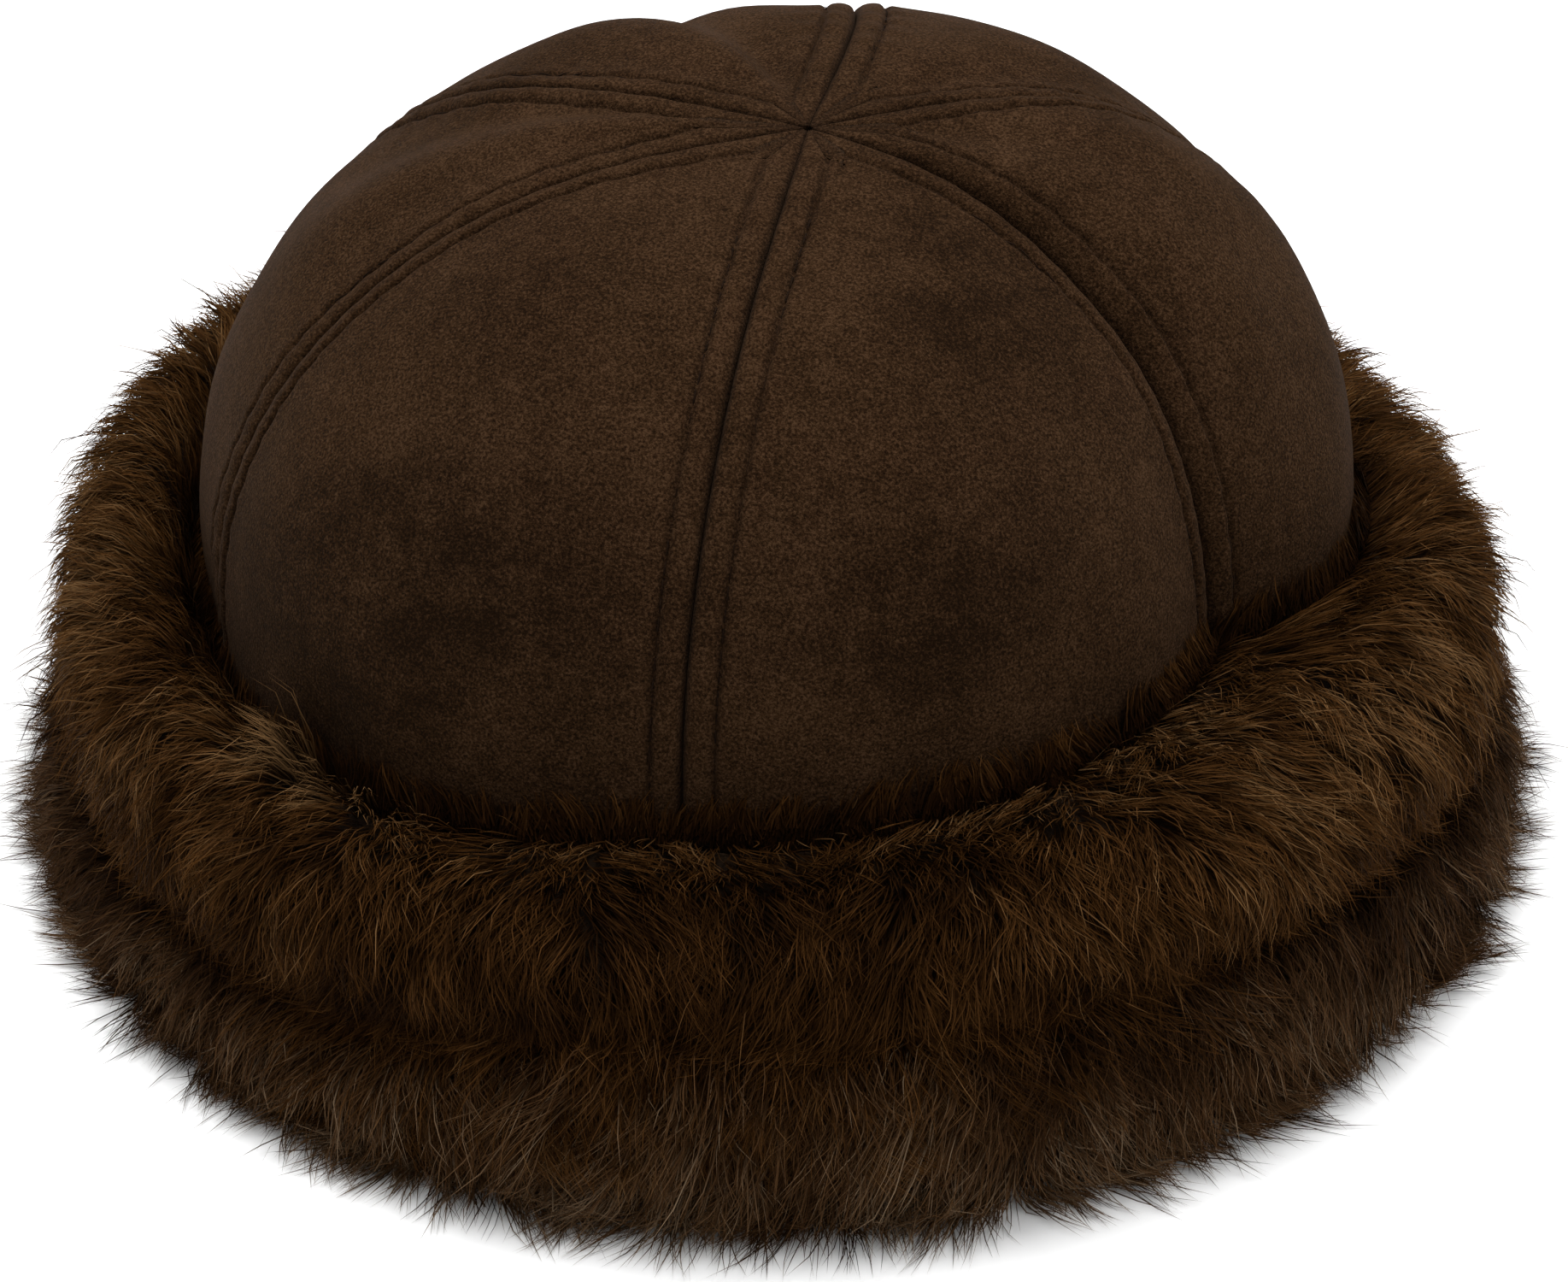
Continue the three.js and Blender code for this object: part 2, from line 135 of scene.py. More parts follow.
def mix(low, high, share):
    return low + (high - low) * share


def smooth(value, low, high):
    share = np.clip((value - low) / (high - low), 0, 1)
    return share * share * (3 - 2 * share)


def unit(vectors):
    return vectors / np.maximum(np.linalg.norm(vectors, axis=-1, keepdims=True), 1e-12)


def ripple(points, wavelength, seed, waves=9):
    """A smooth field of about -1 to 1 over points, made of plane waves near one wavelength."""
    rng = np.random.default_rng(seed)
    total = np.zeros(points.shape[:-1])
    for _ in range(waves):
        direction = unit(rng.normal(size=points.shape[-1]))
        length = wavelength * rng.uniform(0.7, 1.5)
        total += np.sin(points @ direction * 2 * np.pi / length + rng.uniform(0, 2 * np.pi))
    return total / np.sqrt(waves * 2)


def seam_angle(index, level):
    seam = SEAMS[index % len(SEAMS)]
    up = np.sin(np.maximum(level, 0) * QUARTER)
    return seam["angle"] + seam["lean"] * up * up + 360 * (index // len(SEAMS))


def dome_section(level):
    """The crown's plain upright section: share of its radius, and height above the widest level."""
    low = np.minimum(level, 0)
    turn = np.clip(level, 0, 1) * QUARTER
    lower_share = 1 - HEM_TAPER / CROWN_RADIUS * low * low
    upper_share = np.maximum(np.cos(turn), 0) ** ROUND_POWER
    share = np.where(level < 0, lower_share, upper_share)
    rise = np.where(level < 0, low * HEM_HEIGHT, CROWN_RISE * np.sin(turn) ** CREST_POWER)
    return share, rise


def dome_outward(level):
    step = 0.004
    low_share, low_rise = dome_section(level - step)
    high_share, high_rise = dome_section(np.minimum(level + step, 1))
    along = (high_share - low_share) * CROWN_RADIUS
    up = high_rise - low_rise
    length = np.hypot(along, up)
    return up / length, -along / length


def panel_reach(index, across, level):
    """How far the panels of these indices stand out, as a share of the plain section."""
    reaches = np.array([seam["reach"] for seam in SEAMS])
    puffs = np.array([panel["puff"] for panel in PANELS])
    bulge = np.maximum(4 * across * (1 - across), 0) ** PUFF_POWER
    body = mix(reaches[index], reaches[(index + 1) % len(SEAMS)], across) + puffs[index] * bulge
    return mix(body, 1 - DIMPLE_DEPTH / CROWN_RISE, smooth(level, DIMPLE_START, 1))


def crown_place(index, across, level):
    share, rise = dome_section(level)
    reach = panel_reach(index, across, level)
    radius = np.maximum(share * CROWN_RADIUS * reach, TIP_RADIUS)
    inset = np.degrees(SEAM_GAP / 2 / radius)
    start = seam_angle(index, level) + inset
    end = seam_angle(index + 1, level) - inset
    height = WIDEST_LEVEL + rise * np.where(rise > 0, reach, 1)
    return radius, np.radians(mix(start, end, across)), height


def crown_point(index, across, level, lift):
    radius, angle, height = crown_place(index, across, level)
    radial, vertical = dome_outward(level)
    radius = radius + lift * radial * (1 - smooth(level, RELIEF_END, 1))
    up = np.sin(np.maximum(level, 0) * QUARTER)
    x = radius * np.sin(angle) + CROWN_SHIFT + APEX_SHIFT * up * up
    y = -radius * np.cos(angle) * LENGTH_SHARE
    return np.stack([x, y, height + lift * vertical], axis=-1)


def fold_lift(index, across, level):
    lift = np.zeros(np.broadcast(across, level).shape)
    for fold in FOLDS:
        if fold["panel"] != index:
            continue
        start = np.array(fold["start"])
        run = np.array(fold["end"]) - start
        here = np.stack([across - start[0], level - start[1]], axis=-1)
        along = np.clip(here @ run / (run @ run), 0, 1)
        away = np.linalg.norm(here - along[..., None] * run, axis=-1) / fold["breadth"]
        lift += fold["lift"] * FOLD_HEIGHT * np.exp(-away * away)
    return lift * (1 - smooth(level, RELIEF_END, 1))


def crown_radius_at(angle, height):
    """The crown's outer radius at angles in degrees and heights, before the oval."""
    rise = height - WIDEST_LEVEL
    upper = np.arcsin(np.clip(rise / CROWN_RISE, 0, 1)) / QUARTER
    level = np.where(rise < 0, rise / HEM_HEIGHT, upper)
    turned = np.mod(angle, 360)
    starts = np.array([seam["angle"] for seam in SEAMS] + [360 + SEAMS[0]["angle"]])
    index = np.searchsorted(starts, turned, side="right") - 1
    across = (turned - starts[index]) / (starts[index + 1] - starts[index])
    return dome_section(level)[0] * CROWN_RADIUS * panel_reach(index, across, level)


def brim_point(angle, radius, height):
    turn = np.radians(angle)
    outward = smooth(radius, CROWN_RADIUS, BRIM_RADIUS)
    x = radius * np.sin(turn) + mix(CROWN_SHIFT, 0, outward)
    y = -radius * np.cos(turn) * mix(LENGTH_SHARE, 1, outward)
    return np.stack([x, y, height + np.zeros_like(radius)], axis=-1)


def brim_heights(angle):
    turned = np.mod(angle, 360)
    starts = np.array([row["angle"] for row in BRIM_SECTIONS] + [360])
    index = np.searchsorted(starts, turned, side="right") - 1
    share = smooth(turned, starts[index], starts[index + 1])
    heights = {}
    for column in ("crease", "roll", "shoulder", "split"):
        values = np.array([row[column] for row in BRIM_SECTIONS])
        heights[column] = BRIM_HEIGHT * mix(values[index], values[(index + 1) % len(values)], share)
    return heights


def upper_outline(angle):
    """Outline of the upper ply at each angle: arrays of radius and height, a column for each place."""
    at = brim_heights(angle)
    crease, roll, shoulder, split = (at[k] for k in ("crease", "roll", "shoulder", "split"))
    clear = BAND_LIFT + CREASE_GAP
    hem = np.full_like(angle, HEM_LEVEL)
    middle = (HEM_LEVEL + crease) / 2
    crease_radius = crown_radius_at(angle, crease) + clear
    edge = np.full_like(angle, BRIM_RADIUS - UPPER_SETBACK)
    places = [
        (crown_radius_at(angle, hem) + clear, hem),
        (crown_radius_at(angle, middle) + clear, middle),
        (crease_radius, crease),
        (mix(crease_radius, edge, 0.28), mix(crease, roll, 0.8)),
        (mix(crease_radius, edge, 0.6), mix(roll, shoulder, 0.1)),
        (mix(crease_radius, edge, 0.86), mix(roll, shoulder, 0.55)),
        (edge, shoulder),
        (edge, mix(shoulder, split, 0.7)),
        (edge - PILE_ROUND / 2, split),
        (edge - EDGE_NOTCH, split - PILE_ROUND / 2),
    ]
    return stacked(places)


def lower_outline(angle):
    split = brim_heights(angle)["split"]
    hem = np.full_like(angle, HEM_LEVEL)
    crown = crown_radius_at(angle, hem)
    foot = crown + BAND_LIFT + CREASE_GAP
    inside = crown - SUEDE_WALL - HEAD_LEDGE
    edge = np.full_like(angle, BRIM_RADIUS)
    floor = np.zeros_like(angle)
    places = [
        (inside, hem - SEAT_GAP),
        (foot, hem - SEAT_GAP),
        (edge - UPPER_SETBACK - EDGE_NOTCH, split - PILE_ROUND / 2 - SEAT_GAP),
        (edge - EDGE_NOTCH / 2, split - PILE_ROUND - EDGE_NOTCH / 2),
        (edge, split * 0.5),
        (edge, floor + PILE_ROUND),
        (edge - PILE_ROUND, floor),
        (inside + PILE_ROUND, floor),
        (inside, floor + PILE_ROUND),
    ]
    return stacked(places)


def stacked(places):
    return np.stack([np.stack(place, axis=-1) for place in places], axis=1)


def resampled(outlines, count, passes):
    """Each outline walked at even steps, with its corners rounded by passes of averaging."""
    even = []
    for outline in outlines:
        steps = np.linalg.norm(np.diff(outline, axis=0), axis=1)
        walked = np.concatenate([[0], np.cumsum(steps)])
        places = np.linspace(0, walked[-1], count)
        even.append(np.stack([np.interp(places, walked, outline[:, k]) for k in (0, 1)], axis=1))
    even = np.array(even)
    for _ in range(passes):
        even[:, 1:-1] = (even[:, :-2] + 2 * even[:, 1:-1] + even[:, 2:]) / 4
    return even


def mesh_piece(name, points, triangles, uvs, material, replaced):
    """A smooth mesh riding on the cap. uvs has one row for each point, or for each triangle corner."""
    mesh = bpy.data.meshes.new(name)
    mesh.from_pydata(points, [], triangles)
    corner_uvs = uvs[triangles.ravel()] if len(uvs) == len(points) else uvs
    layer = mesh.uv_layers.new(name="OFBake")
    layer.data.foreach_set("uv", corner_uvs.astype(np.float32).ravel())
    mesh.polygons.foreach_set("use_smooth", np.ones(len(triangles), bool))
    mesh.materials.append(material)
    mesh.validate()
    piece = bpy.data.objects.new(name, mesh)
    bpy.context.scene.collection.objects.link(piece)
    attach(piece, "root")
    if replaced:
        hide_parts(*replaced)
    return piece


def grid_triangles(rows, columns, first=0, flip=False):
    """Triangles over a grid of points stored row by row from index first."""
    start = first + np.arange(rows - 1)[:, None] * columns + np.arange(columns - 1)
    a, b, c, d = start, start + 1, start + columns + 1, start + columns
    halves = [(a, b, c), (a, c, d)] if not flip else [(a, c, b), (a, d, c)]
    return np.concatenate([np.stack(half, axis=-1).reshape(-1, 3) for half in halves])


def strip_triangles(one, other):
    """Triangles between two lines of point indices of the same length."""
    a, b, c, d = one[:-1], one[1:], other[1:], other[:-1]
    return np.concatenate([np.stack([a, b, c], axis=-1), np.stack([a, c, d], axis=-1)])


# Materials


def new_material(name):
    material = bpy.data.materials.new(name)
    material.use_nodes = True
    return material, material.node_tree, material.node_tree.nodes["Principled BSDF"]


def add_node(tree, kind, **values):
    """A node with its inputs set by name, or its settings where no input has the name."""
    node = tree.nodes.new(kind)
    for key, value in values.items():
        label = key.replace("_", " ").title()
        if label in node.inputs:
            node.inputs[label].default_value = value
        else:
            setattr(node, key, value)
    return node


def add_noise(tree, vector, scale, detail=3, roughness=0.6):
    noise = add_node(tree, "ShaderNodeTexNoise", scale=scale, detail=detail, roughness=roughness)
    tree.links.new(vector, noise.inputs["Vector"])
    return noise.outputs["Fac"]


def add_ramp(tree, factor, stops):
    ramp = tree.nodes.new("ShaderNodeValToRGB")
    elements = ramp.color_ramp.elements
    while len(elements) < len(stops):
        elements.new(0.5)
    for element, (place, colour) in zip(elements, stops):
        element.position = place
        element.color = (*colour, 1)
    tree.links.new(factor, ramp.inputs["Fac"])
    return ramp.outputs["Color"]


def add_math(tree, operation, first, second):
    node = tree.nodes.new("ShaderNodeMath")
    node.operation = operation
    for socket, value in zip(node.inputs, (first, second)):
        if isinstance(value, (int, float)):
            socket.default_value = value
        else:
            tree.links.new(value, socket)
    return node.outputs["Value"]


def add_swing(tree, noise, middle, weight):
    """How far a noise is from its middle, times a weight."""
    return add_math(tree, "MULTIPLY", add_math(tree, "SUBTRACT", noise, middle), weight)


def add_multiply(tree, first, second):
    node = tree.nodes.new("ShaderNodeMix")
    node.data_type = "RGBA"
    node.blend_type = "MULTIPLY"
    node.inputs["Factor"].default_value = 1
    tree.links.new(first, node.inputs["A"])
    tree.links.new(second, node.inputs["B"])
    return node.outputs["Result"]


SUEDE_DARK = (0.0066, 0.0028, 0.0009)
SUEDE_MIDDLE = (0.02, 0.0092, 0.0036)
SUEDE_LIGHT = (0.044, 0.0225, 0.0108)
SUEDE_SHEEN = (0.62, 0.4, 0.26, 1)
# Noises of the nap: scale, detail and roughness
NAP_PATCHES = (34, 3, 0.6)
NAP_BRUSHED = (260, 4, 0.7)
NAP_GRAIN = (2100, 2, 0.75)
NAP_MOTTLE = (80, 5, 0.7)


def suede_material():
    """Brushed nap: broad darker patches where it is stroked, fine grain, and painted shade in the seams and
    grooves, low down and towards the crease.
    """
    material, tree, shader = new_material("suede")
    place = tree.nodes.new("ShaderNodeTexCoord").outputs["Object"]
    patches = add_noise(tree, place, *NAP_PATCHES)
    brushed = add_noise(tree, place, *NAP_BRUSHED)
    grain = add_noise(tree, place, *NAP_GRAIN)
    mottle = add_noise(tree, place, *NAP_MOTTLE)
    tone = add_math(tree, "ADD", add_swing(tree, patches, 0.5, 0.6), add_swing(tree, brushed, 0.5, 0.55))
    tone = add_math(tree, "ADD", tone, add_swing(tree, grain, 0.5, 2.3))
    nap = add_node(tree, "ShaderNodeAttribute", attribute_name="crown_nap").outputs["Fac"]
    ragged = add_swing(tree, mottle, 0.37, 4)
    broken = add_math(tree, "MINIMUM", add_math(tree, "MAXIMUM", ragged, 0.1), 1.1)
    tone = add_math(tree, "SUBTRACT", tone, add_math(tree, "MULTIPLY", nap, broken))
    tone = add_math(tree, "ADD", tone, 0.5)
    colour = add_ramp(tree, tone, [(0.1, SUEDE_DARK), (0.5, SUEDE_MIDDLE), (0.9, SUEDE_LIGHT)])
    # Painted shade: the crown_shade values darken the colour in the seams, low down, near the crease and
    # inside.
    shade = add_node(tree, "ShaderNodeAttribute", attribute_name="crown_shade").outputs["Fac"]
    shaded = add_ramp(tree, shade, [(0, (0.16, 0.14, 0.13)), (1, (1, 1, 1))])
    tree.links.new(add_multiply(tree, colour, shaded), shader.inputs["Base Color"])
    height = add_math(tree, "ADD", add_math(tree, "MULTIPLY", brushed, 0.6), grain)
    bump = add_node(tree, "ShaderNodeBump", strength=0.7, distance=0.0005)
    tree.links.new(height, bump.inputs["Height"])
    tree.links.new(bump.outputs["Normal"], shader.inputs["Normal"])
    shader.inputs["Roughness"].default_value = 0.95
    shader.inputs["Specular IOR Level"].default_value = 0.03
    shader.inputs["Sheen Weight"].default_value = 0.035
    shader.inputs["Sheen Roughness"].default_value = 0.4
    shader.inputs["Sheen Tint"].default_value = SUEDE_SHEEN
    return material


def thread_material():
    material, tree, shader = new_material("thread")
    place = tree.nodes.new("ShaderNodeTexCoord").outputs["Object"]
    twist = add_noise(tree, place, 1800, 2, 0.5)
    colour = add_ramp(tree, twist, [(0.3, (0.004, 0.002, 0.001)), (0.7, (0.014, 0.0065, 0.003))])
    tree.links.new(colour, shader.inputs["Base Color"])
    shader.inputs["Roughness"].default_value = 0.9
    shader.inputs["Specular IOR Level"].default_value = 0.05
    return material


def fur_material(name, tones):
    """Strand colour from the strand's own map: tone across it, and painted shade along it from a dark root to
    the tip.
    """
    material, tree, shader = new_material(name)
    map_node = add_node(tree, "ShaderNodeUVMap", uv_map="OFBake")
    parts = tree.nodes.new("ShaderNodeSeparateXYZ")
    tree.links.new(map_node.outputs["UV"], parts.inputs["Vector"])
    colour = add_ramp(tree, parts.outputs["X"], tones)
    # Painted shade: each strand darker towards its root, as deep in the pile.
    along = add_ramp(tree, parts.outputs["Y"], [(0, ROOT_SHADE), (0.5, (0.5,) * 3), (0.95, (1.0,) * 3)])
    tree.links.new(add_multiply(tree, colour, along), shader.inputs["Base Color"])
    shader.inputs["Roughness"].default_value = 0.7
    shader.inputs["Specular IOR Level"].default_value = 0.03
    shader.inputs["Specular Tint"].default_value = (1, 0.75, 0.5, 1)
    return material


def skin_material(name, dark, light):
    """The pile's short dark underfur between the strands."""
    material, tree, shader = new_material(name)
    place = tree.nodes.new("ShaderNodeTexCoord").outputs["Object"]
    tufts = add_noise(tree, place, 300, 4, 0.7)
    colour = add_ramp(tree, tufts, [(0.3, dark), (0.75, light)])
    tree.links.new(colour, shader.inputs["Base Color"])
    bump = add_node(tree, "ShaderNodeBump", strength=0.8, distance=0.001)
    tree.links.new(tufts, bump.inputs["Height"])
    tree.links.new(bump.outputs["Normal"], shader.inputs["Normal"])
    shader.inputs["Roughness"].default_value = 0.95
    shader.inputs["Specular IOR Level"].default_value = 0.1
    return material


# Crown

LOWER_ROWS = 22
DOME_ROWS = 92
MIDDLE_COLUMNS = 26
# Columns beside a seam, as shares of the band's width, close together at the seam and the stitches
BAND_COLUMNS = (0, 0.05, 0.12, 0.22, 0.36, 0.5, 0.64, 0.78, 0.88, 0.94, 1, 1.06, 1.12, 1.22, 1.36, 1.56)
SEAM_DROP = 0.0008
SEAM_ROUND = 0.0005
GROOVE_ROUND = 0.0006
BESIDE_GROOVE = 0.00025
PUCKER_HEIGHT = 0.00016
PUCKER_PITCH = 0.0075
SOFT_WAVE = 0.00045
SOFT_WAVELENGTH = 0.034
SHADE_FLOOR = 0.034
SHADE_TOP = 0.078
CREASE_SHADE_FLOOR = 0.036
CREASE_SHADE_TOP = 0.05
LOW_SHADE = 0.65
CREASE_SHADE = 0.7
INSIDE_SHADE = 0.8
SEAM_SHADE = 0.6
SEAM_SHADE_ROUND = 0.0006
GROOVE_SHADE = 0.35
GROOVE_SHADE_ROUND = 0.0007
RELIEF_FADE = 0.75

# Patches where the nap is stroked dark: place and size as shares of a panel, and depth of tone
NAP_STROKES = [
    {"panel": 0, "across": 0.4, "level": 0.27, "width": 0.22, "height": 0.13, "depth": 0.32},
    {"panel": 0, "across": 0.08, "level": 0.3, "width": 0.07, "height": 0.12, "depth": 0.1},
    {"panel": 5, "across": 0.6, "level": 0.32, "width": 0.25, "height": 0.13, "depth": 0.32},
    {"panel": 5, "across": 0.45, "level": 0.14, "width": 0.35, "height": 0.18, "depth": 0.28},
    {"panel": 0, "across": 0.62, "level": 0.71, "width": 0.24, "height": 0.12, "depth": 0.36},
    {"panel": 1, "across": 0.1, "level": 0.55, "width": 0.12, "height": 0.3, "depth": 0.12},
    {"panel": 5, "across": 0.3, "level": 0.6, "width": 0.3, "height": 0.14, "depth": 0.1},
]


def band_share(index, level):
    """A stitched band's share of the panel's width."""
    radius = crown_place(index, 0.5, level)[0]
    span = np.radians(seam_angle(index + 1, level) - seam_angle(index, level))
    return np.minimum(BAND_WIDTH / (span * radius), WIDEST_BAND)


def panel_columns(index, levels):
    """Places across a panel at each level, crowded towards its two seams."""
    band = band_share(index, levels)[:, None]
    near = np.array(BAND_COLUMNS)[None, :] * band
    share = np.linspace(0, 1, MIDDLE_COLUMNS + 2)[None, 1:-1]
    middle = mix(near[:, -1:], 1 - near[:, -1:], share)
    return np.concatenate([near, middle, 1 - near[:, ::-1]], axis=1)


def seam_relief(index, across, level):
    """Lift of the seam, its puffed bands, stitched grooves and puckers, and the painted shade at each place,
    darkest in the seam and the grooves.
    """
    radius = crown_place(index, 0.5, level)[0]
    span = np.radians(seam_angle(index + 1, level) - seam_angle(index, level))
    width = span * radius
    band = band_share(index, level)
    side = np.minimum(across, 1 - across)
    from_seam = side * width
    from_groove = (side - band) * width
    fade = 1 - RELIEF_FADE * smooth(level, RELIEF_END, 1)
    puff = BAND_LIFT * np.sin(np.pi * np.clip(side / band, 0, 1)) ** 0.7
    drop = SEAM_DROP * np.exp(-((from_seam / SEAM_ROUND) ** 2))
    groove = (STITCH_SINK + BESIDE_GROOVE) * np.exp(-((from_groove / GROOVE_ROUND) ** 2))
    beside = BESIDE_GROOVE * np.exp(-((from_groove / (BAND_WIDTH / 2)) ** 2)) * (from_groove > 0)
    walked = level * (CROWN_RISE + CROWN_RADIUS) / 2 * QUARTER
    phase = index * 1.7 + 3 * np.sin(walked / 0.031 + index)
    pucker = PUCKER_HEIGHT * np.sin(2 * np.pi * walked / PUCKER_PITCH + phase)
    pucker = pucker * np.exp(-((from_groove / BAND_WIDTH) ** 2))
    lift = (puff - drop - groove + beside + pucker) * fade
    shade = 1 - SEAM_SHADE * np.exp(-((from_seam / SEAM_SHADE_ROUND) ** 2))
    shade *= 1 - GROOVE_SHADE * np.exp(-((from_groove / GROOVE_SHADE_ROUND) ** 2))
    return lift, shade


def crown_levels():
    low = np.arange(LOWER_ROWS) / LOWER_ROWS - 1
    high = np.sin(np.arange(DOME_ROWS + 1) / DOME_ROWS * QUARTER)
    return np.concatenate([low, high])


def add_values(piece, name, outside, inside):
    """A value for each point of a panel's outside, and one value for all of its inside."""
    values = np.concatenate([outside, np.full(len(outside), inside)])
    attribute = piece.data.attributes.new(name, "FLOAT", "POINT")
    attribute.data.foreach_set("value", values.astype(np.float32))


def nap_stroke(index, across, level):
    """How much the nap is stroked dark at places on a panel."""
    depth = np.zeros(across.shape)
    for stroke in NAP_STROKES:
        if stroke["panel"] == index:
            away_x = (across - stroke["across"]) / stroke["width"]
            away_y = (level - stroke["level"]) / stroke["height"]
            depth += stroke["depth"] * np.exp(-((away_x**2 + away_y**2) ** 1.5))
    return depth


def make_panel(index, material):
    levels = crown_levels()
    across = panel_columns(index, levels)
    level = np.broadcast_to(levels[:, None], across.shape)
    relief, shade = seam_relief(index, across, level)
    plain = crown_point(index, across, level, 0)
    still = smooth(across * (1 - across), 0, 0.08) * (1 - smooth(level, RELIEF_END, 1))
    wave = SOFT_WAVE * ripple(plain, SOFT_WAVELENGTH, index + 1) * still
    lift = fold_lift(index, across, level) + wave
    outer = crown_point(index, across, level, lift + relief)
    inner = crown_point(index, across, level, lift - SUEDE_WALL)
    rows, columns = across.shape
    points = np.concatenate([outer.reshape(-1, 3), inner.reshape(-1, 3)])
    size = rows * columns
    cell = np.arange(size).reshape(rows, columns)
    back = cell + size
    triangles = np.concatenate([
        grid_triangles(rows, columns),
        grid_triangles(rows, columns, size, flip=True),
        strip_triangles(cell[:, 0], back[:, 0]),
        strip_triangles(back[:, -1], cell[:, -1]),
        strip_triangles(back[0], cell[0]),
        strip_triangles(cell[-1], back[-1]),
    ])
    share = np.linspace(0, 1, rows)[:, None] + np.zeros(columns)
    front_uv = np.stack([0.01 + 0.48 * across, 0.01 + 0.98 * share], axis=-1).reshape(-1, 2)
    back_uv = front_uv + np.array([0.5, 0])
    uvs = np.concatenate([front_uv, back_uv])
    name = PANELS[index]["name"]
    piece = mesh_piece(f"suede_{name}", points, triangles, uvs, material, [name])
    height = plain[..., 2]
    # Painted shade: darker low on the crown, darker again just above the crease where the fur meets it, and
    # darker on the inside.
    shade = shade * mix(LOW_SHADE, 1, smooth(height, SHADE_FLOOR, SHADE_TOP))
    shade = shade * mix(CREASE_SHADE, 1, smooth(height, CREASE_SHADE_FLOOR, CREASE_SHADE_TOP))
    add_values(piece, "crown_shade", shade.ravel(), INSIDE_SHADE)
    add_values(piece, "crown_nap", nap_stroke(index, across, level).ravel(), 0)


STITCH_PITCH = 0.0034
STITCH_LENGTH = 0.0026
THREAD_RADIUS = 0.00015
STITCH_LOW_LEVEL = -0.97
STITCH_TOP_LEVEL = 0.86
STITCH_SAMPLES = 600
STITCH_SINK_AT_ENDS = 0.0001
STITCH_SIDES = 4
THREAD_STAND = 0.4
SIDE_STEP = 0.002
# Rings of one stitch: place along it, as a share of its length, and share of the thread's thickness
STITCH_RINGS = ((-0.5, 0.45), (-0.36, 1), (0.36, 1), (0.5, 0.45))


def stitch_frames(index, far_side):
    """Centres, directions and outward normals of the stitches along one edge of a panel."""
    levels = np.linspace(STITCH_LOW_LEVEL, STITCH_TOP_LEVEL, STITCH_SAMPLES)
    band = band_share(index, levels)
    across = 1 - band if far_side else band
    relief = seam_relief(index, across, levels)[0] + fold_lift(index, across, levels)
    line = crown_point(index, across, levels, relief)
    beside = crown_point(index, across + SIDE_STEP, levels, relief)
    walked = np.concatenate([[0], np.cumsum(np.linalg.norm(np.diff(line, axis=0), axis=1))])
    places = np.arange(STITCH_PITCH / 2, walked[-1], STITCH_PITCH)
    run = unit(np.gradient(line, axis=0))
    normal = unit(np.cross(beside - line, run))
    centres, runs, normals = (
        np.stack([np.interp(places, walked, field[:, k]) for k in range(3)], axis=1)
        for field in (line, run, normal)
    )
    return centres, unit(runs), unit(normals)


def make_stitches(material):
    """Both rows of stitches of every seam, as small closed threads in one mesh."""
    sides = STITCH_SIDES
    turns = np.arange(sides) / sides * 2 * np.pi
    template = []
    for along, thick in STITCH_RINGS:
        sunk = -STITCH_SINK_AT_ENDS if thick < 1 else THREAD_RADIUS * THREAD_STAND
        for turn in turns:
            across = THREAD_RADIUS * thick * np.cos(turn)
            up = THREAD_RADIUS * thick * np.sin(turn) + sunk
            template.append((STITCH_LENGTH * along, across, up))
    template = np.array(template)
    faces = []
    for ring in range(len(STITCH_RINGS) - 1):
        for side in range(sides):
            a, b = ring * sides + side, ring * sides + (side + 1) % sides
            faces += [(a, b, b + sides), (a, b + sides, a + sides)]
    top = (len(STITCH_RINGS) - 1) * sides
    faces += [(0, 2, 1), (0, 3, 2), (top, top + 1, top + 2), (top, top + 2, top + 3)]
    frames = [stitch_frames(i, far) for i in range(len(PANELS)) for far in (False, True)]
    centre, run, normal = (np.concatenate(parts) for parts in zip(*frames))
    side_way = np.cross(normal, run)
    axes = np.stack([run, side_way, normal], axis=1)
    points = centre[:, None] + np.einsum("tk,nkx->ntx", template, axes)
    count = len(centre)
    triangles = np.array(faces)[None] + (np.arange(count) * len(template))[:, None, None]
    uvs = np.tile((template[:, :2] / STITCH_LENGTH + 0.5), (count, 1))
    flat_points, flat_triangles = points.reshape(-1, 3), triangles.reshape(-1, 3)
    mesh_piece("seam_stitches", flat_points, flat_triangles, uvs, material, [])


# Fur

RING_COLUMNS = 240
RING_PLACES = 36
ANGLES = np.arange(RING_COLUMNS) * 360 / RING_COLUMNS
GUIDE_PLACES = 64
SKIN_INSET = 0.0022
ROOT_SINK = 0.002
PILE_STAND = 0.0015


def make_skin(name, outline_at, material, node):
    """The ply itself under its strands: a closed ring, drawn in a little all round."""
    outlines = outline_at(ANGLES)
    closed = np.concatenate([outlines, outlines[:, :1]], axis=1)
    ring = resampled(closed, RING_PLACES + 1, 1)
    points = brim_point(ANGLES[:, None], ring[..., 0], ring[..., 1])
    around = np.roll(points, -1, axis=0) - np.roll(points, 1, axis=0)
    along = np.gradient(points, axis=1)
    points = points - unit(np.cross(along, around)) * SKIN_INSET
    points = points[:, :-1]
    rows, columns = points.shape[:2]
    cell = np.arange(rows * columns).reshape(rows, columns)
    cell = np.concatenate([cell, cell[:1]])
    cell = np.concatenate([cell, cell[:, :1]], axis=1)
    a, b, c, d = cell[:-1, :-1], cell[:-1, 1:], cell[1:, 1:], cell[1:, :-1]
    halves = [np.stack(half, axis=-1) for half in ((a, b, c), (a, c, d))]
    triangles = np.concatenate([half.reshape(-1, 3) for half in halves])
    row, column = np.indices((rows, columns))
    corner = [(0, 0), (0, 1), (1, 1), (1, 0)]
    place = [np.stack([(row + r) / rows, (column + k) / columns], axis=-1) for r, k in corner]
    uv = np.concatenate([
        np.stack([place[i] for i in half], axis=2).reshape(-1, 2) for half in ((0, 1, 2), (0, 2, 3))
    ])
    mesh_piece(name, points.reshape(-1, 3), triangles, uv * 0.98 + 0.01, material, [node])


